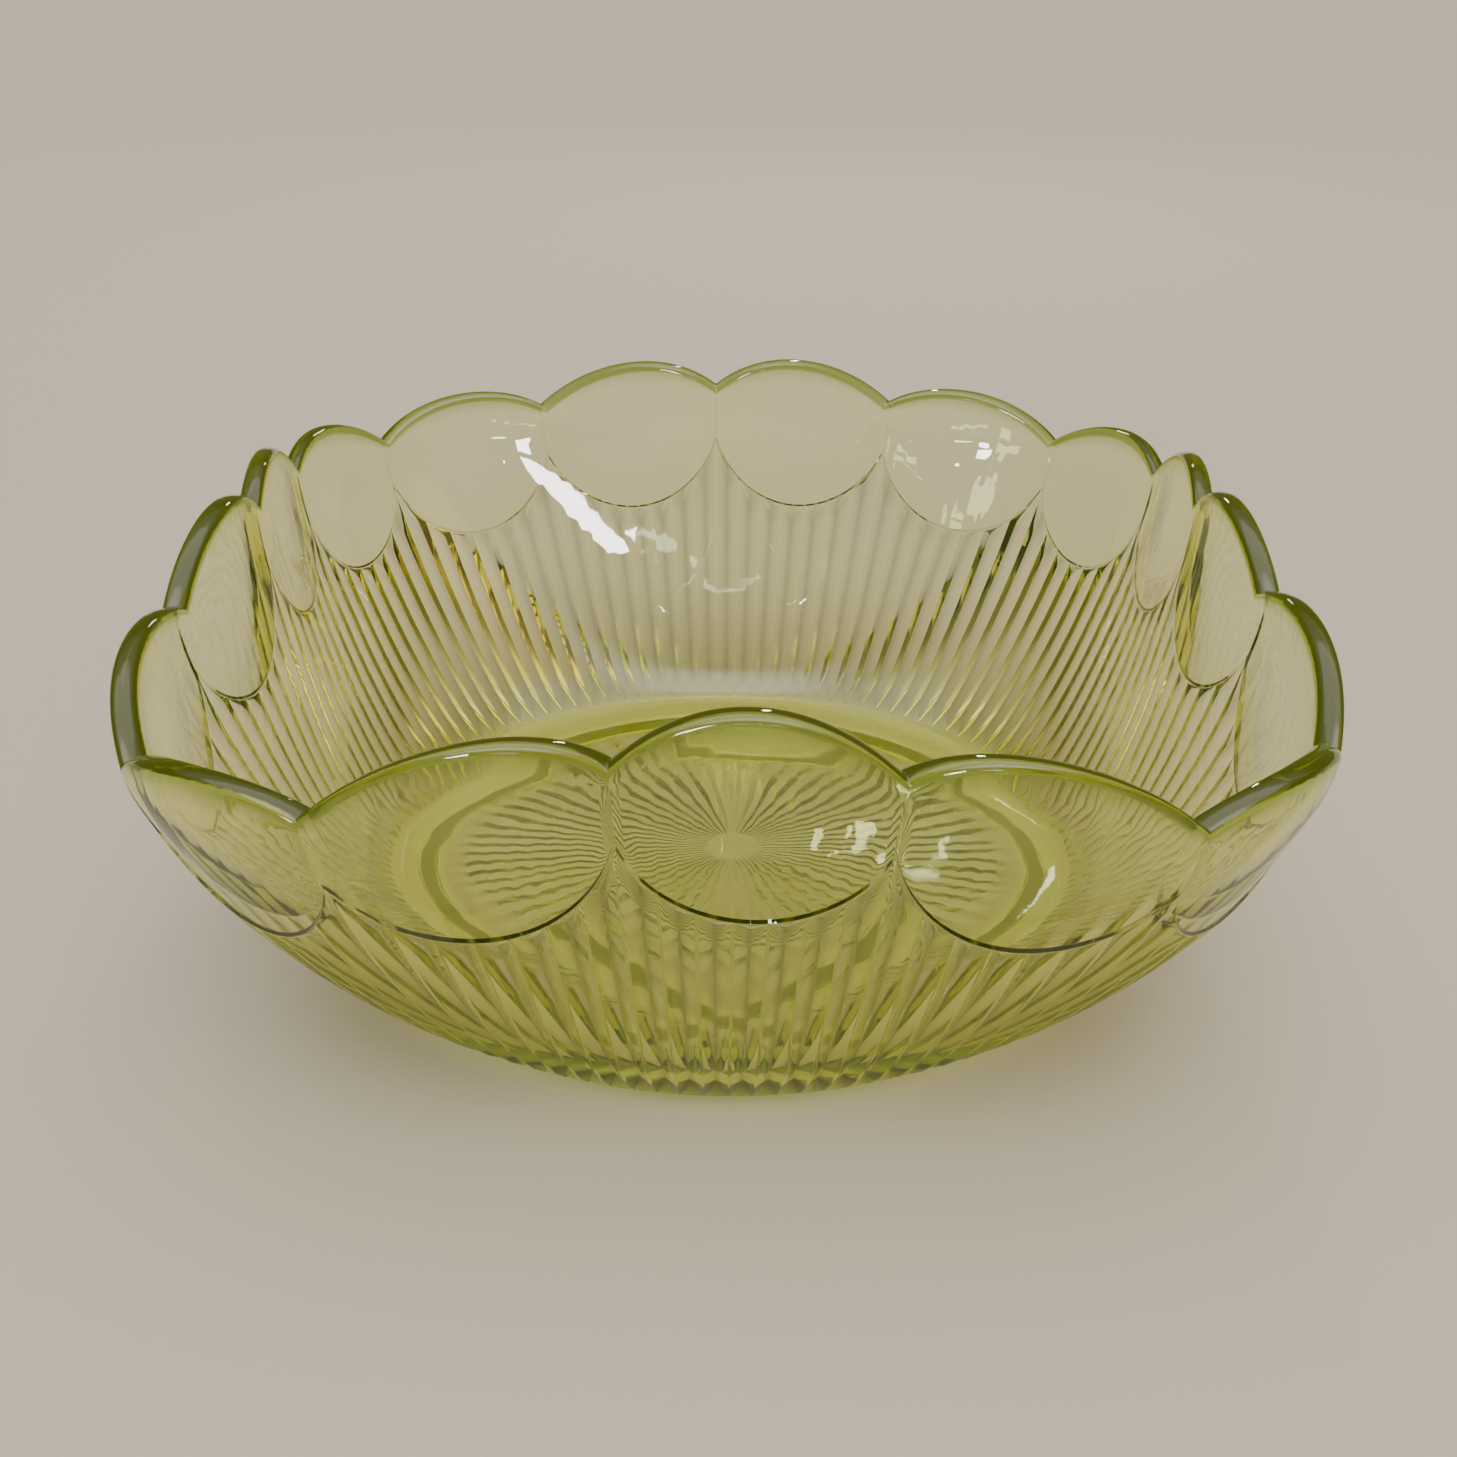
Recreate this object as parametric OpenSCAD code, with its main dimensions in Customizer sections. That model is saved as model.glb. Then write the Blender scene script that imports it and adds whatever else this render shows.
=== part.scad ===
// Pressed-glass fruit bowl, one piece: ribbed wall, seventeen round panels under a scalloped rim,
// rim bent to four raised sides and four flared corners, star-cut base on a low foot ring.
// Millimetres, +Z up, origin at the centre of the foot's resting face.

/* [Rim] */
// Mean radius of the rim, out to the valleys between scallops
rim_r = 115; // [80:1:150]
// Mean height of those valleys above the table
rim_h = 78; // [50:1:110]
// How far the four corners are bent out, and the four sides in
corner_flare = 13.8; // [0:0.2:18]
// How far the four sides are bent up, and the four corners down
side_lift = 6.5; // [0:0.1:9]
// Turn that gathers the scallops towards the corners, in degrees
corner_gather = 2.5; // [0:0.1:4]
// Height of each scallop above the valleys beside it
scallop_rise = 7.2; // [1:0.1:9]
// Thickness of the wall at the rim
rim_wall = 4.8; // [3.5:0.1:7]

/* [Wall] */
// Thickness of the wall above the base
base_wall = 6.8; // [5:0.1:9]
// Radius where the wall meets the underside
base_r = 75; // [58:0.5:85]
// Reach of the rounding from the underside into the wall
heel_reach = 17.5; // [8:0.5:25]
// Slope of the wall where it leaves the underside, in degrees
heel_slope = 10; // [0:1:30]
// Length of wall below the rim that stands nearly upright
upright_reach = 16; // [8:0.5:26]

/* [Panels] */
// Number of round panels, each under its own scallop
panel_count = 17; // [13:1:17]
// Turn of the front panel away from the middle of its side, in degrees
panel_lead = 2; // [-10:0.5:10]
// How much wider a panel's circle is than the width it has at the rim, so that neighbours meet
panel_overlap = 2; // [0.5:0.1:5]
// Distance from the valleys down to the panel centres
panel_drop = 7; // [4:0.5:12]
// Width of the bevel round a panel
panel_bevel = 0.9; // [0.5:0.1:1.5]
// Depth of the hollow in a panel
panel_hollow = 1.1; // [0.2:0.1:1.5]

/* [Ribs] */
// Ribs under each panel
ribs_per_panel = 7; // [5:1:7]
// Depth of the V between two ribs
rib_depth = 1.7; // [0.5:0.1:2.2]
// Length of the slope that closes a V under its panel
rib_end = 3.2; // [2:0.1:5]
// Plain band between the underside and the ribs
rib_foot = 6.5; // [3:0.5:10]
// Length of the pointed lower ends of the ribs
rib_point = 7; // [4:0.5:10]

/* [Base] */
// Height of the foot ring
foot_h = 0.8; // [0.4:0.1:2]
// Distance from the underside's edge in to the foot ring
foot_inset = 4; // [2:0.5:8]
// Width of the foot ring's resting face
foot_w = 5; // [3:0.5:6]
// Rays in the star cut into the underside
star_rays = 56; // [24:1:60]
// Gap between the star's points and the foot ring
star_gap = 3; // [1:0.5:20]
// Radius of the plain middle of the star
star_plain_r = 7; // [4:0.5:12]
// Depth of the rays
star_depth = 0.7; // [0.4:0.1:1.6]
// Distance from a ray's outer point to its deepest place
star_run = 11.5; // [5:0.5:20]

/* [Hidden] */

mid_rings = 3;                                    // rings along the plain run of the ribs
panel_rings = 3;                                  // rings across a panel
inner_rings = 8;                                  // rings down the inside
foot_sink = 1.5;                                  // how deep the foot ring runs up into the base
bend = 4;                                         // raised sides, and corners between them
rib_count = panel_count * ribs_per_panel;
cols = 2 * rib_count;                             // a crest and a valley for each rib
star_cols = 2 * star_rays;
start_turn = 180 / panel_count + panel_lead;      // the first seam stands here
rim_round = rim_wall / 3;                         // rounding along the rim's two edges
foot_r = base_r - foot_inset;
star_r = foot_r - foot_w - star_gap;
edge_share = 0.1;                                 // share of the hollow where a panel's bevel ends
table_steps = 40;                                 // steps in the length table
table_turn = 22.5;                                // halfway between a side and a corner, in degrees

// ---- The wall's mean outer line, from the underside's edge up to the valleys ----

function bezier(p, s) =
    pow(1 - s, 3) * p[0] + 3 * pow(1 - s, 2) * s * p[1]
    + 3 * (1 - s) * s * s * p[2] + pow(s, 3) * p[3];

// Side of the square-ish rim: 1 at the middle of a side, -1 at a corner
function side(a) = cos(bend * a);

function wall_line(a) = [
    [base_r, foot_h],
    [base_r + heel_reach * cos(heel_slope), foot_h + heel_reach * sin(heel_slope)],
    [rim_r - corner_flare * side(a), rim_h + side_lift * side(a) - upright_reach],
    [rim_r - corner_flare * side(a), rim_h + side_lift * side(a)]
];

// The mean wall, between a side and a corner, gives lengths along the wall
mean_line = wall_line(table_turn);
mean_points = [for (i = [0:table_steps]) bezier(mean_line, i / table_steps)];
function length_to(i) = i == 0 ? 0 : length_to(i - 1) + norm(mean_points[i] - mean_points[i - 1]);
wall_length = length_to(table_steps);
length_table = [for (i = [0:table_steps]) [wall_length - length_to(table_steps - i), 1 - i / table_steps]];

// Share of the wall's line at a distance below the valleys
function share(down) = lookup(down, length_table);

function unit(v) = v / norm(v);

// Point on the wall's line [radius, height], a distance down from the valleys and a depth into the glass.
// Above the valleys the line runs straight on, as the scallops do.
function line_point(a, down, depth) =
    let (p = wall_line(a),
         s = share(max(down, 0)),
         step = 0.01,
         low = min(s, 1 - step),
         along = unit(bezier(p, low + step) - bezier(p, low)),
         inward = [-along[1], along[0]])
    bezier(p, s) + along * max(-down, 0) + inward * depth;

// The same point in space. The scallops gather towards the corners as the wall rises.
function wall_point(a, down, depth) =
    let (q = line_point(a, down, depth),
         turn = a + corner_gather * sin(bend * a) * share(max(down, 0)))
    [q[0] * sin(turn), -q[0] * cos(turn), q[1]];

// ---- Scallops, panels and ribs, each as a rule on the angle round the bowl ----

function col_angle(k) = 360 * k / cols + start_turn;

// Place across a panel: 0 at its middle, 1 at the seam on each side
function across(k) = abs(2 * ((k / (cols / panel_count)) % 1) - 1);

rim_steps = 180;
function rim_point(i) = wall_point(360 * i / rim_steps, 0, 0);
function rim_to(i) = i == 0 ? 0 : rim_to(i - 1) + norm(rim_point(i) - rim_point(i - 1));
pitch = rim_to(rim_steps) / panel_count;         // width of a panel and its scallop at the rim
function arch(x) = sqrt(1 - pow(x, 2) / 2);      // a flattened arc, 1 at the middle
function rim_down(k) = -scallop_rise * (arch(across(k)) - arch(1)) / (1 - arch(1));
panel_r = (pitch + panel_overlap) / 2;
function panel_down(k) = panel_drop + sqrt(pow(panel_r, 2) - pow(across(k) * pitch / 2, 2));
function valley(k) = k % 2;                      // 1 in the V between two ribs
function hollow(k, t) =
    across(k) == 1 ? 0 : panel_hollow * sin(180 * max(t, edge_share)) * arch(across(k));
function wall_at(down) = rim_wall + (base_wall - rim_wall) * (1 - share(max(down, 0)));

// ---- Rings of points, from the underside up the outside, over the rim and down the inside ----

function ring(step, down, depth) =
    [for (k = [0:step:cols - 1]) wall_point(col_angle(k), down[k], depth[k])];

function each_col(v) = [for (k = [0:cols - 1]) v];
all_cols = [for (k = [0:cols - 1]) k];

rib_top = [for (k = all_cols) panel_down(k) + rib_end];
rib_low = wall_length - rib_foot - rib_point;
v_depth = [for (k = all_cols) rib_depth * valley(k)];
plain = each_col(0);
panel_top = [for (k = all_cols) rim_down(k) + rim_round];

outer_rings = concat(
    [ring(1, each_col(wall_length), plain)],
    [ring(1, each_col(wall_length - rib_foot), plain)],
    [for (i = [0:mid_rings])
        ring(1, [for (k = all_cols) rib_low + (rib_top[k] - rib_low) * i / mid_rings], v_depth)],
    [ring(1, [for (k = all_cols) panel_down(k)], plain)],
    [for (i = [0:panel_rings - 1])
        let (t = i / panel_rings)
        ring(1,
             [for (k = all_cols) (panel_down(k) - panel_bevel) * (1 - t) + panel_top[k] * t],
             [for (k = all_cols) hollow(k, t)])],
    [ring(1, panel_top, plain)],
    [ring(1, [for (k = all_cols) rim_down(k) + rim_round / 3], each_col(rim_round / 2))],
    [ring(1, [for (k = all_cols) rim_down(k)], each_col(rim_wall / 2))]
);

inner_top = [for (k = all_cols) rim_down(k) + rim_round];
inner_rings_list = concat(
    [ring(2, [for (k = all_cols) rim_down(k) + rim_round / 3], each_col(rim_wall - rim_round / 2))],
    [for (i = [0:inner_rings])
        let (down = [for (k = all_cols) inner_top[k] + (wall_length - inner_top[k]) * i / inner_rings])
        ring(2, down, [for (k = all_cols) wall_at(down[k])])]
);

function flat_ring(n, r, dips) =
    [for (k = [0:n - 1])
        let (a = 360 * k / n + start_turn)
        [r * sin(a), -r * cos(a), foot_h + dips * (k % 2)]];

star_rings = [
    flat_ring(star_cols, star_plain_r, 0),
    flat_ring(star_cols, star_r - star_run, star_depth),
    flat_ring(star_cols, star_r, 0)
];

// ---- Faces between rings; points are listed ring after ring ----

// Band between two rings of n points each, the second above the first
function band(n, low, high) =
    [for (k = [0:n - 1])
        let (j = (k + 1) % n)
        each (k % 2 == 0
            ? [[low + k, high + k, high + j], [low + k, high + j, low + j]]
            : [[low + k, high + k, low + j], [low + j, high + k, high + j]])];

// Band between a ring of n points and a coarser ring of m points above it
function coarse_band(n, m, low, high) =
    let (near = [for (k = [0:n]) floor((k + 0.5) * m / n + 0.5)])
    concat(
        [for (k = [0:n - 1]) [low + k, high + near[k] % m, low + (k + 1) % n]],
        [for (k = [0:n - 1])
            if (near[k + 1] != near[k])
                [low + (k + 1) % n, high + near[k] % m, high + near[k + 1] % m]]
    );

function joined(rings) = [for (r = rings) each r];

module bowl_glass() {
    half = cols / 2;
    star_count = len(star_rings) * star_cols;
    outer_count = len(outer_rings) * cols;
    inner_count = len(inner_rings_list);
    outer_at = star_count;
    inner_at = star_count + outer_count;
    rim_at = inner_at - cols;
    floor_at = inner_at + (inner_count - 1) * half;
    points = concat(joined(star_rings), joined(outer_rings), joined(inner_rings_list));
    faces = concat(
        [[for (k = [0:star_cols - 1]) k]],
        [for (i = [0:len(star_rings) - 2]) each band(star_cols, i * star_cols, (i + 1) * star_cols)],
        [for (f = coarse_band(cols, star_cols, outer_at, star_count - star_cols)) [f[0], f[2], f[1]]],
        [for (i = [0:len(outer_rings) - 2])
            each band(cols, outer_at + i * cols, outer_at + (i + 1) * cols)],
        coarse_band(cols, half, rim_at, inner_at),
        [for (i = [0:inner_count - 2])
            each band_plain(half, inner_at + i * half, inner_at + (i + 1) * half)],
        [[for (k = [half - 1:-1:0]) floor_at + k]]
    );
    polyhedron(points, faces);
}

// Band between two rings of an odd count, each square split the same way
function band_plain(n, low, high) =
    [for (k = [0:n - 1])
        let (j = (k + 1) % n)
        each [[low + k, high + k, high + j], [low + k, high + j, low + j]]];

module foot_ring() {
    rotate_extrude($fn = 180)
        translate([foot_r - foot_w, 0])
            square([foot_w, foot_h + foot_sink]);
}

module bowl() {
    color([0.72, 0.80, 0.30, 0.55])
        union() {
            bowl_glass();
            foot_ring();
        }
}

bowl();
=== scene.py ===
import math
import bpy
import bmesh
from mathutils import Matrix, Vector, noise


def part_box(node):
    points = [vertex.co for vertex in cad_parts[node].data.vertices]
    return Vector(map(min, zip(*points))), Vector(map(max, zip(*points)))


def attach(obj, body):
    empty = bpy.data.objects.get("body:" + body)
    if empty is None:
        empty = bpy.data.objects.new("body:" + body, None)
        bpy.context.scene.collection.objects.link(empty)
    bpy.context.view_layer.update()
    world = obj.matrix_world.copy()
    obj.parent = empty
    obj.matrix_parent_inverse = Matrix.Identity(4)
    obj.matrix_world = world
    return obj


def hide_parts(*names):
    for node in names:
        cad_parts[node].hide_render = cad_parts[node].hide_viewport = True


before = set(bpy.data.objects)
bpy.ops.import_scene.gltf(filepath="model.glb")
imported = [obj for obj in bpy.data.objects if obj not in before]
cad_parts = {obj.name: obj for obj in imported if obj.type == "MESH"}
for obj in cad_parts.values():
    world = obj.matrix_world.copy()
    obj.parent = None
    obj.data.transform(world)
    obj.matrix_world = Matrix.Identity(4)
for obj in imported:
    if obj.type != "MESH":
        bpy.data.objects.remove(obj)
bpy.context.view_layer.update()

# Pressed uranium-glass bowl. Lengths are millimetres unless a note says otherwise.

bowl = {
    "height": 91.65,        # table to the highest scallop, as the frame has it
    "rimRadius": 115.0,     # mean, out to the valleys between scallops
    "rimHeight": 78.0,      # mean height of those valleys
    "cornerFlare": 13.8,    # corners bent out, sides bent in
    "sideLift": 6.5,        # sides bent up, corners down
    "cornerGather": 2.5,    # degrees, scallops drawn towards the corners
    "scallopRise": 7.2,
    "rimWall": 4.8,
    "baseWall": 6.8,
    "rimCrown": 1.7,        # rounding left on the rim by the fire
    "crownRound": 0.8,      # 1 is a half circle, less is flatter on top
    "innerLip": 0.5,        # from the crown's rounding down to the first ring inside
    # painted glow and painted deeper green on the crown, where a thick edge gathers light
    "rimPaintedGlow": 0.38,
    "rimPaintedDeep": 0.88,
    "baseRadius": 75.0,
    "heelReach": 17.5,
    "heelSlope": 10.0,      # degrees
    "uprightReach": 16.0,
    "sides": 4,
    "fit": 0.9998,          # keeps this finer mesh inside the frame's box
}

panel = {
    "count": 17,
    "lead": 2.0,            # degrees, front panel turned from the middle of its side
    "overlap": 2.0,         # wider than the width it has at the rim
    "drop": 7.0,            # valleys down to the panel centres
    "bevel": 0.7,
    "bevelDepth": 0.5,
    "hollow": 1.1,
    "ledge": 0.25,          # band below it that the grooves end on
    "dustAndShade": 0.35,           # painted shade along its edges, the same all the way round
}

rib = {
    "perPanel": 7,
    "depth": 1.7,
    "end": 3.2,             # sloped facet that closes a groove under its panel
    "foot": 6.5,            # plain band above the underside
    "point": 7.0,           # pointed lower end
    "dustAndShade": 0.66,           # painted shade in the grooves, the same all the way round
    "endPaintedShade": 0.7,         # painted shade on the facet that closes each groove
    "shallow": 0.05,        # least part of a crest's run that its ends keep
    # columns across one rib, crest first
    "places": [0.0, 0.06, 0.25, 0.44, 0.5, 0.56, 0.75, 0.94],
}

base = {
    "footHeight": 0.8,
    "footRadius": 71.0,
    "footWidth": 5.0,
    "footEdge": 0.5,
    "starRays": 56,
    "starRadius": 63.0,
    "starPlain": 7.0,
    "starDepth": 0.7,
    "starStart": 0.22,      # share of that depth that a ray begins with
    "starRise": 0.7,
    "starTip": 0.16,        # share of a ray's length that its point takes
    "starRings": [0, 0.008, 0.14, 0.3, 0.45, 0.55, 0.7, 0.84, 0.92, 1],   # plain middle to tips
    "floorRings": [0.95, 0.88, 0.78, 0.6, 0.3, 0.00001],    # of the floor's radius
    "floorBend": 8,         # power that takes the heel's slope to level
    "glow": 0.8,            # painted glow of the foot and the plain band above it, lightening the shade there
    # painted glow on the star underneath
    "starPaintedGlow": 0.1,
}

waves = {
    "inside": 0.09,         # ripple left by the plunger
    "outside": 0.03,
    "length": 13.0,
    "fadeIn": 6,            # the inside ripple is full a sixth of the way down from the rim
}

boxLow, boxHigh = (Vector(corner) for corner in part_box("bowl"))
mm = (boxHigh.z - boxLow.z) / bowl["height"]
ribTotal = panel["count"] * rib["perPanel"]
columns = ribTotal * len(rib["places"])
fullTurn = 2 * math.pi


def bezier(p, s):
    t = 1 - s
    return p[0] * t ** 3 + p[1] * (3 * t * t * s) + p[2] * (3 * t * s * s) + p[3] * s ** 3


def wallLine(angle):
    # the wall's outer line at this angle, from the underside's edge to the valleys
    side = math.cos(bowl["sides"] * angle)
    foot = Vector((bowl["baseRadius"], base["footHeight"]))
    slope = math.radians(bowl["heelSlope"])
    rim = Vector((bowl["rimRadius"] - bowl["cornerFlare"] * side,
                  bowl["rimHeight"] + bowl["sideLift"] * side))
    heel = foot + bowl["heelReach"] * Vector((math.cos(slope), math.sin(slope)))
    return foot, heel, rim - Vector((0, bowl["uprightReach"])), rim


def lengthTable(steps=120):
    # distance down from the valleys against the share of the line
    line = wallLine(math.pi / (2 * bowl["sides"]))
    spots = [bezier(line, 1 - i / steps) for i in range(steps + 1)]
    table, total = [0.0], 0.0
    for a, b in zip(spots, spots[1:]):
        total += (a - b).length
        table.append(total)
    return table


wallTable = lengthTable()
wallLength = wallTable[-1]


def share(down):
    # 1 at the valleys, 0 at the underside's edge
    if down <= 0:
        return 1.0
    low, high = 0, len(wallTable) - 1
    while high - low > 1:
        middle = (low + high) // 2
        low, high = (middle, high) if wallTable[middle] <= down else (low, middle)
    part = (down - wallTable[low]) / (wallTable[high] - wallTable[low])
    return 1 - (low + min(part, 1.0)) / (len(wallTable) - 1)


def wallPoint(angle, down, depth, line=None):
    line = line or wallLine(angle)
    s = share(down)
    step = 0.01
    low = min(s, 1 - step)
    along = (bezier(line, low + step) - bezier(line, low)).normalized()
    spot = bezier(line, s) + along * max(-down, 0) + Vector((-along.y, along.x)) * depth
    turn = angle + math.radians(bowl["cornerGather"]) * math.sin(bowl["sides"] * angle) * s
    return Vector((spot.x * math.sin(turn), -spot.x * math.cos(turn), spot.y))


def rimPitch(steps=360):
    loop = [wallPoint(fullTurn * i / steps, 0, 0) for i in range(steps)]
    return sum((a - b).length for a, b in zip(loop, loop[1:] + loop[:1])) / panel["count"]


pitch = rimPitch()
startTurn = math.pi / panel["count"] + math.radians(panel["lead"])


class Column:
    # everything that a ring needs to know about one column of the spun mesh
    def __init__(self, index):
        whole, place = divmod(index, len(rib["places"]))
        part = rib["places"][place]
        self.angle = fullTurn * (whole + part) / ribTotal + startTurn
        self.groove = 1 - abs(2 * part - 1)     # 0 on a crest, 1 in a groove
        # 0 in the middle of a panel, 1 at a seam
        self.across = abs(2 * (((whole + part) / rib["perPanel"]) % 1) - 1)
        self.seam = self.across > 1 - 1e-6
        self.even = fullTurn * index / columns + startTurn
        self.line = wallLine(self.angle)
        self.panelDown = panel["drop"] + math.sqrt(
            ((pitch + panel["overlap"]) / 2) ** 2 - (self.across * pitch / 2) ** 2)
        self.rimDown = -bowl["scallopRise"] * (arch(self.across) - arch(1)) / (1 - arch(1))


def arch(x):
    return math.sqrt(1 - x * x / 2)


def wallThick(down):
    return bowl["rimWall"] + (bowl["baseWall"] - bowl["rimWall"]) * (1 - share(down))


# The rings run from the middle of the underside round the outside and over the rim to the middle
# of the floor. Each is a rule that takes a column and gives a point, with three marks from 0 to 1:
# painted shade, a painted glow where a thick edge gathers light, and the painted deep green of the
# crown.
# The marks are painted, and are the same all the way round the bowl.


def ring(place, soil=lambda c: 0.0, glow=0.0, deep=0.0):
    return place, soil, glow, deep


def flatPoint(c, radius, height):
    return Vector((radius * math.sin(c.even), -radius * math.cos(c.even), height))


def flatRing(radius, height, glow=0.0):
    return ring(lambda c: flatPoint(c, radius, height), glow=glow)


def starRing(part):
    # a V-cut ray begins sharply at the plain middle, deepens to half way and ends in a point
    radius = base["starPlain"] + (base["starRadius"] - base["starPlain"]) * part
    rise = base["starStart"] + part / base["starRise"]
    depth = base["starDepth"] * min(rise, (1 - part) / base["starTip"], 1.0) * (part > 0)

    def place(c):
        ray = (base["starRays"] * (c.even - startTurn) / fullTurn) % 1
        return flatPoint(c, radius, base["footHeight"] + depth * (1 - abs(2 * ray - 1)))
    # a faint painted glow on the star
    return ring(place, glow=base["starPaintedGlow"])


def outerRing(down, depth=lambda c: 0.0, soil=lambda c: 0.0, glow=0.0):
    def place(c):
        spot = wallPoint(c.angle, down(c), depth(c), c.line)
        return spot + ripple(spot, "outside")
    return ring(place, soil, glow)


def ripple(spot, name):
    # slow waves that bend what is seen through the glass
    size = waves[name]
    return Vector((spot.x, spot.y, 0)).normalized() * size * noise.noise(spot / waves["length"])


def undersideRings():
    inner, outer = base["footRadius"] - base["footWidth"], base["footRadius"]
    edge, high = base["footEdge"], base["footHeight"]
    rings = [flatRing(0.001, high), flatRing(base["starPlain"] * 0.6, high)]
    rings += [starRing(part) for part in base["starRings"]]
    # the foot ring gets a painted glow, lightening the shade where it meets the table
    rings += [flatRing(inner - edge, high, base["glow"]), flatRing(inner, high / 2, base["glow"]),
              flatRing(inner + edge, 0, base["glow"]), flatRing(outer - edge, 0, base["glow"]),
              flatRing(outer, high / 2, base["glow"]), flatRing(outer + edge, high, base["glow"])]
    return rings


def ribRings(runs=11):
    lowEnd = wallLength - rib["foot"]
    top = lambda c: c.panelDown + rib["end"] * max(c.groove, rib["shallow"])
    low = lambda c: lowEnd - rib["point"] * max(c.groove, rib["shallow"])
    cut = lambda c: rib["depth"] * c.groove
    # painted shade, darkest in the grooves and on the facets that close them
    soil = lambda c: rib["dustAndShade"] * c.groove ** 2.4
    endShade = lambda c: rib["endPaintedShade"] * c.groove
    # the plain band above the underside gets the foot's painted glow
    rings = [outerRing(lambda c, t=t: wallLength - rib["foot"] * t, glow=base["glow"])
             for t in (0, 0.35, 0.7, 1)]
    for i in range(runs + 1):
        t = i / runs
        rings.append(outerRing(lambda c, t=t: low(c) + (top(c) - low(c)) * t, cut,
                               soil if i < runs else endShade))
    return rings


def panelRings(runs=8):
    lip = bowl["rimCrown"]
    bevel, bevelDepth = panel["bevel"], panel["bevelDepth"]
    flat = lambda c, depth: 0.0 if c.seam else depth
    # painted shade along the panel's edges and on the band below, where the grooves end
    rings = [outerRing(lambda c: c.panelDown + panel["ledge"],
                       soil=lambda c: 0.8 * rib["endPaintedShade"] * c.groove),
             outerRing(lambda c: c.panelDown, soil=lambda c: 0.4 * panel["dustAndShade"])]
    rings.append(outerRing(lambda c: c.panelDown - bevel * 0.2, lambda c: flat(c, bevelDepth * 0.1),
                           lambda c: 0.5 * panel["dustAndShade"]))
    rings.append(outerRing(lambda c: c.panelDown - bevel * 0.8, lambda c: flat(c, bevelDepth * 0.9),
                           lambda c: 0.1))
    for i in range(runs):
        t = i / runs
        dish = lambda c, t=t: (bevelDepth * (1 - t)
                               + panel["hollow"] * math.sin(math.pi * t) * (1 - c.across ** 2))
        rings.append(outerRing(
            lambda c, t=t: (c.panelDown - bevel) * (1 - t) + (c.rimDown + lip) * t,
            lambda c, dish=dish: flat(c, dish(c)), lambda c: 0.5 * panel["dustAndShade"] * c.seam))
    return rings


def rimRings(runs=8):
    # a soft, nearly flat crown
    lip, half, power = bowl["rimCrown"], bowl["rimWall"] / 2, bowl["crownRound"]
    rings = []
    for i in range(runs + 1):
        turn = math.pi * i / runs
        out = half * (1 - math.copysign(abs(math.cos(turn)) ** power, math.cos(turn)))
        up = lip * (1 - math.sin(turn) ** power)
        place = lambda c, out=out, up=up: wallPoint(c.angle, c.rimDown + up, out, c.line)
        # the crown gets a painted glow and a painted deeper green
        rings.append(ring(place, glow=bowl["rimPaintedGlow"], deep=bowl["rimPaintedDeep"]))
    return rings


def insideRings(runs=24):
    under = bowl["rimCrown"] + bowl["innerLip"]
    rings = [ring(lambda c: wallPoint(c.angle, c.rimDown + under, bowl["rimWall"], c.line))]
    for i in range(1, runs + 1):
        t = i / runs

        def place(c, t=t):
            top = c.rimDown + under
            down = top + (wallLength - top) * t
            spot = wallPoint(c.angle, down, wallThick(down), c.line)
            return spot + ripple(spot, "inside") * min(1.0, waves["fadeIn"] * t)
        rings.append(ring(place))
    return rings


def floorRings():
    # the floor takes over the heel's slope and runs level
    slope = math.radians(bowl["heelSlope"])
    edgeRadius = bowl["baseRadius"] - bowl["baseWall"] * math.sin(slope)
    edgeHeight = base["footHeight"] + bowl["baseWall"] * math.cos(slope)
    bend = base["floorBend"]
    sag = math.tan(slope) * edgeRadius / bend

    def height(radius):
        return edgeHeight - sag * (1 - (radius / edgeRadius) ** bend)
    return [flatRing(r, height(r)) for r in (edgeRadius * t for t in base["floorRings"])]


def buildBowl():
    rings = undersideRings() + ribRings() + panelRings() + rimRings() + insideRings() + floorRings()
    bm = bmesh.new()
    # one upright row of points, spun into a tube of rings, then every ring set to its place
    row = [bm.verts.new((1, 0, i)) for i in range(len(rings))]
    edges = [bm.edges.new(pair) for pair in zip(row, row[1:])]
    bmesh.ops.spin(bm, geom=row + edges, cent=(0, 0, 0), axis=(0, 0, 1), angle=fullTurn,
                   steps=columns, use_merge=True)
    column = [Column(i) for i in range(columns)]
    # painted shade, painted glow and painted deeper green, stored on the points for the material
    marks = [bm.verts.layers.float.new(name) for name in ("soil", "glow", "deep")]
    poles = ([], [])
    for v in bm.verts:
        level = round(v.co.z)
        place, soil, glow, deep = rings[level]
        c = column[round(math.atan2(v.co.y, v.co.x) / fullTurn * columns) % columns]
        if level in (0, len(rings) - 1):
            poles[level > 0].append(v)
        v.co = place(c) * mm * bowl["fit"] + Vector((0, 0, boxLow.z))
        for mark, value in zip(marks, (soil(c), glow, deep)):
            v[mark] = value
    for pole in poles:
        bmesh.ops.pointmerge(bm, verts=pole, merge_co=Vector((0, 0, pole[0].co.z)))
    bmesh.ops.recalc_face_normals(bm, faces=bm.faces)
    for face in bm.faces:
        face.smooth = True
    mesh = bpy.data.meshes.new("pressedBowl")
    bm.to_mesh(mesh)
    bm.free()
    piece = bpy.data.objects.new("pressedBowl", mesh)
    bpy.context.collection.objects.link(piece)
    weighted = piece.modifiers.new("flatFacets", "WEIGHTED_NORMAL")
    weighted.mode = "FACE_AREA"
    weighted.weight = 60
    print("bowl:", len(mesh.vertices), "points,", len(rings), "rings,", columns, "columns")
    return piece


class Shade:
    # a socket that adds its own Math nodes
    def __init__(self, tree, socket):
        self.tree, self.socket = tree, socket

    def maths(self, operation, first, second):
        return makeNode(self.tree, "ShaderNodeMath", {"operation": operation},
                        {0: first, 1: second})

    def __add__(self, other):
        return self.maths("ADD", self, other)

    def __mul__(self, other):
        return self.maths("MULTIPLY", self, other)

    __radd__ = __add__
    __rmul__ = __mul__


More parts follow.
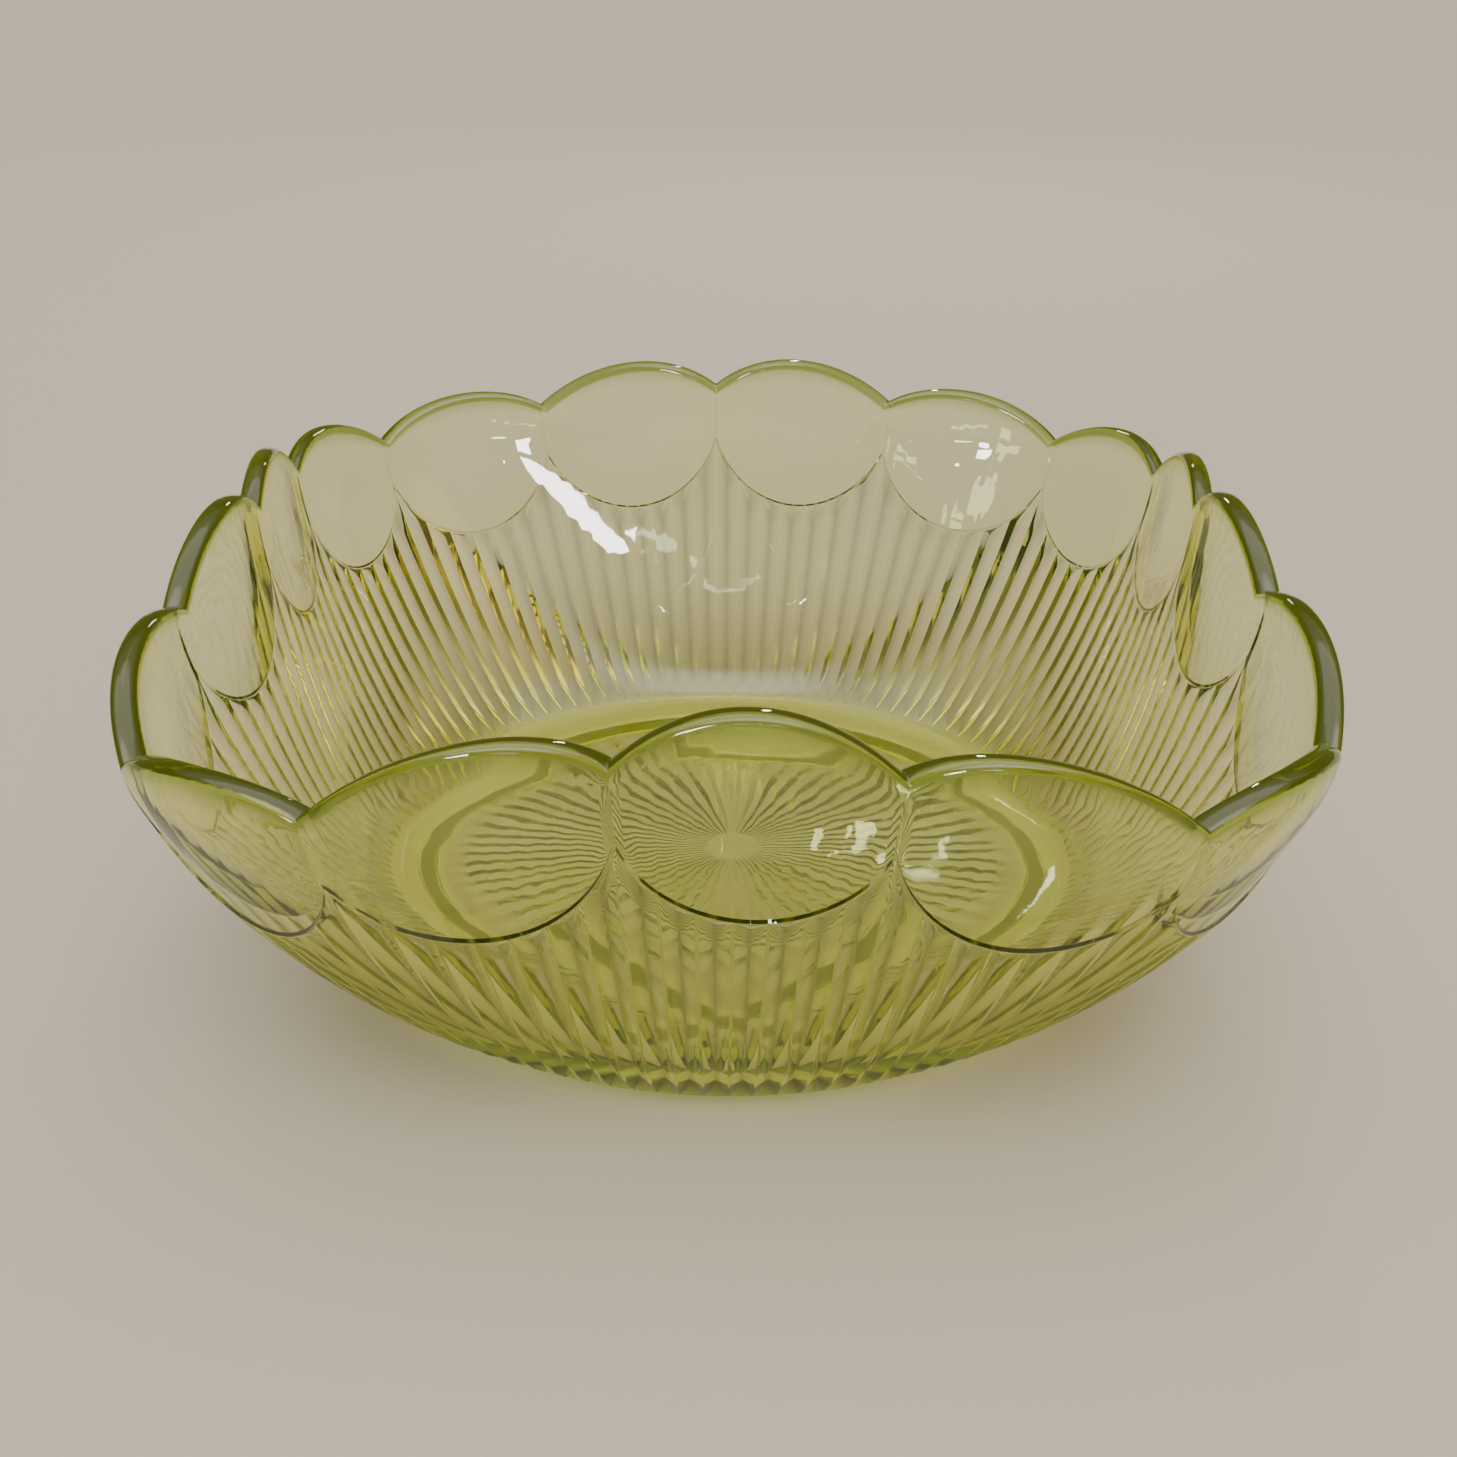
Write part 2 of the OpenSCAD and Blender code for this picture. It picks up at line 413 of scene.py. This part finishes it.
def makeNode(tree, kind, settings=None, values=None, output=0):
    node = tree.nodes.new(kind)
    for name, value in (settings or {}).items():
        if name == "stops":
            ramp = node.color_ramp
            ready = list(ramp.elements) + [None] * (len(value) - 2)
            for stop, (position, colour) in zip(ready, value):
                stop = stop or ramp.elements.new(position)
                stop.position, stop.color = position, colour
        else:
            setattr(node, name, value)
    for name, value in (values or {}).items():
        if isinstance(value, Shade):
            tree.links.new(value.socket, node.inputs[name])
        else:
            node.inputs[name].default_value = value
    return Shade(tree, node.outputs[output]) if node.outputs else None


glass = {
    "absorb": (0.84, 0.86, 0.0, 1),         # colour that thick glass keeps
    "strength": 105.0,                      # how fast it deepens, per metre
    "glow": (0.005, 0.007, 0.0003, 1),      # green that the uranium gives back in daylight, set as a painted glow
    "edgePaintedGlow": (0.15, 0.165, 0.004, 1),    # painted glow where a thick edge gathers light
    # painted deeper green of the crown
    "crownPaintedTint": (0.10, 0.17, 0.0, 1),
    "ior": 1.52,
    "polish": 0.012,                        # roughness of clean glass
    "smear": 0.05,                          # added where hands and dust have left a film
    "smearSize": 38.0,                      # patches per metre
    "smearRange": (0.52, 0.75),             # noise where the film begins and where it is full
    "hazeShare": 0.35,
    "tint": (1.0, 1.0, 0.985, 1),
    "haze": (0.97, 0.975, 0.95, 1),
    "paintedShadeColour": (0.07, 0.055, 0.02, 1),       # painted shade in grooves and along edges
    "waveSize": 70.0,                       # fire-polish waves, per metre
    "waveHeight": 0.00022,                  # metres
    "waveStrength": 0.28,
}


def glassMaterial():
    material = bpy.data.materials.new("uraniumGlass")
    material.use_nodes = True
    tree = material.node_tree
    tree.nodes.clear()
    place = makeNode(tree, "ShaderNodeTexCoord", output=3)
    # dust film, which also varies the painted shade
    dustAndShade = makeNode(tree, "ShaderNodeTexNoise", None,
                    {"Vector": place, "Scale": glass["smearSize"], "Detail": 4.0, "Roughness": 0.6})
    begins, full = glass["smearRange"]
    filmMask = makeNode(tree, "ShaderNodeMapRange", {"clamp": True},
                        {"Value": dustAndShade, "From Min": begins, "From Max": full})
    wave = makeNode(tree, "ShaderNodeTexNoise", None,
                    {"Vector": place, "Scale": glass["waveSize"], "Detail": 2.0, "Distortion": 0.6})
    bump = makeNode(tree, "ShaderNodeBump", None,
                    {"Strength": glass["waveStrength"], "Distance": glass["waveHeight"],
                     "Height": wave})
    # painted shade, painted glow and the crown's painted deeper green, read from the marks on the
    # points
    soil = makeNode(tree, "ShaderNodeAttribute", {"attribute_name": "soil"}, output=2)
    edge = makeNode(tree, "ShaderNodeAttribute", {"attribute_name": "glow"}, output=2)
    hazed = makeNode(tree, "ShaderNodeMix", {"data_type": "RGBA"},
                     {0: filmMask * glass["hazeShare"], 6: glass["tint"], 7: glass["haze"]},
                     output=2)
    crown = makeNode(tree, "ShaderNodeAttribute", {"attribute_name": "deep"}, output=2)
    deep = makeNode(tree, "ShaderNodeMix", {"data_type": "RGBA"},
                    {0: crown, 6: hazed, 7: glass["crownPaintedTint"]}, output=2)
    tint = makeNode(tree, "ShaderNodeMix", {"data_type": "RGBA"},
                    {0: soil * (dustAndShade * 0.5 + 0.75), 6: deep, 7: glass["paintedShadeColour"]}, output=2)
    # emission is a painted glow, stronger at edges, foot and crown
    green = makeNode(tree, "ShaderNodeMix", {"data_type": "RGBA"},
                     {0: edge, 6: glass["glow"], 7: glass["edgePaintedGlow"]}, output=2)
    surface = makeNode(tree, "ShaderNodeBsdfPrincipled", None, {
        "Base Color": tint, "Roughness": filmMask * glass["smear"] + glass["polish"],
        "IOR": glass["ior"], "Transmission Weight": 1.0, "Normal": bump,
        "Emission Color": green, "Emission Strength": 1.0})
    inside = makeNode(tree, "ShaderNodeVolumeAbsorption", None,
                      {"Color": glass["absorb"], "Density": glass["strength"]})
    makeNode(tree, "ShaderNodeOutputMaterial", None, {"Surface": surface, "Volume": inside})
    return material


def plainMaterial(name, colour, rough):
    material = bpy.data.materials.new(name)
    material.use_nodes = True
    shader = material.node_tree.nodes["Principled BSDF"]
    shader.inputs["Base Color"].default_value = colour
    shader.inputs["Roughness"].default_value = rough
    return material


studio = {
    "floorColour": (0.50, 0.46, 0.40, 1),
    "floorRough": 0.9,
    "floorRadius": 60000.0,
    # dome colours from the horizon (0) to straight up (1)
    "dome": [(0.0, (0.15, 0.12, 0.07, 1)), (0.55, (0.15, 0.12, 0.07, 1)),
             (0.82, (0.8, 0.76, 0.68, 1)), (0.88, (2.5, 2.4, 2.25, 1))],
    # soft patches on it: towards, cosine where each begins, cosine where it is full, colour
    "patches": [((0.03, -0.50, 0.86), 0.91, 0.985, (5.5, 5.3, 5.0, 1)),
                ((0.62, -0.38, 0.66), 0.93, 0.985, (2.2, 1.5, 0.4, 1))],
}

lights = {
    # name: place, what it points at, width, height, power in watts, colour
    "window": ((-190, -1070, 370), (-30, 92, 50), 120, 85, 2.3, (1.0, 0.98, 0.95)),
    "windowFoot": ((-160, -1070, 245), (-30, 92, 46), 62, 90, 1.3, (1.0, 0.98, 0.95)),
    "sill": ((0, -1100, 197), (0, 89, 40), 115, 12, 0.3, (1.0, 0.98, 0.95)),
    "backLamp": ((122, 1000, 610), (20, 0, 8), 26, 150, 1.2, (1.0, 0.98, 0.95)),
    "bulb": ((15, -1050, 400), (-10, 86, 27), 12, 12, 0.05, (1.0, 0.97, 0.9)),
}

camera = {
    "lens": 40.27,
    "sensor": 36,
    "nearest": 0.01,        # metres
    "distance": 333.5,      # from the middle of the rim
    "elevation": 21.29,     # degrees, seen from there
    "tip": 6.27,            # degrees that it looks below the rim's middle
    "roll": 0.57,           # degrees
}


def makeStage():
    bm = bmesh.new()
    bmesh.ops.create_circle(bm, cap_ends=True, segments=96, radius=studio["floorRadius"] * mm)
    mesh = bpy.data.meshes.new("floor")
    bm.to_mesh(mesh)
    bm.free()
    floor = bpy.data.objects.new("floor", mesh)
    floor.location.z = boxLow.z
    bpy.context.collection.objects.link(floor)
    paper = plainMaterial("floorPaper", studio["floorColour"], studio["floorRough"])
    floor.data.materials.append(paper)
    world = bpy.data.worlds.new("studio")
    world.use_nodes = True
    tree = world.node_tree
    tree.nodes.clear()
    way = makeNode(tree, "ShaderNodeTexCoord")
    upward = makeNode(tree, "ShaderNodeSeparateXYZ", None, {0: way}, output=2)
    sky = makeNode(tree, "ShaderNodeValToRGB", {"stops": studio["dome"]}, {0: upward})
    for towards, begins, full, colour in studio["patches"]:
        near = makeNode(tree, "ShaderNodeVectorMath", {"operation": "DOT_PRODUCT"},
                        {0: way, 1: Vector(towards).normalized()}, output=1)
        patch = makeNode(tree, "ShaderNodeMapRange", {"interpolation_type": "SMOOTHSTEP"},
                         {"Value": near, "From Min": begins, "From Max": full})
        sky = makeNode(tree, "ShaderNodeMix", {"data_type": "RGBA"},
                       {0: patch, 6: sky, 7: colour}, output=2)
    back = makeNode(tree, "ShaderNodeBackground", None, {"Color": sky})
    makeNode(tree, "ShaderNodeOutputWorld", None, {"Surface": back})
    bpy.context.scene.world = world


def makeLights():
    for name, (place, aim, width, height, power, colour) in lights.items():
        data = bpy.data.lights.new(name, "AREA")
        data.shape = "RECTANGLE"
        data.size, data.size_y = width * mm, height * mm
        data.energy = power
        data.color = colour
        lamp = bpy.data.objects.new(name, data)
        lamp.location = Vector(place) * mm
        lamp.rotation_euler = (Vector(place) - Vector(aim)).to_track_quat("Z", "Y").to_euler()
        bpy.context.collection.objects.link(lamp)


def makeCamera():
    data = bpy.data.cameras.new("camera")
    data.lens = camera["lens"]
    data.sensor_width = camera["sensor"]
    data.clip_start = camera["nearest"]
    view = bpy.data.objects.new("camera", data)
    rise = math.radians(camera["elevation"])
    view.location = Vector((0, -math.cos(rise), math.sin(rise))) * camera["distance"] * mm
    view.location.z += bowl["rimHeight"] * mm + boxLow.z
    tilt = math.pi / 2 - math.radians(camera["elevation"] + camera["tip"])
    roll = math.radians(camera["roll"])
    turned = Matrix.Rotation(tilt, 3, "X") @ Matrix.Rotation(roll, 3, "Z")
    view.rotation_euler = turned.to_euler()
    bpy.context.collection.objects.link(view)
    bpy.context.scene.camera = view


makeCamera()
makeStage()
makeLights()
print("stage, lights and camera are set")

dish = buildBowl()
dish.data.materials.append(glassMaterial())
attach(dish, "root")
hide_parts("bowl")
print("bowl is in place")
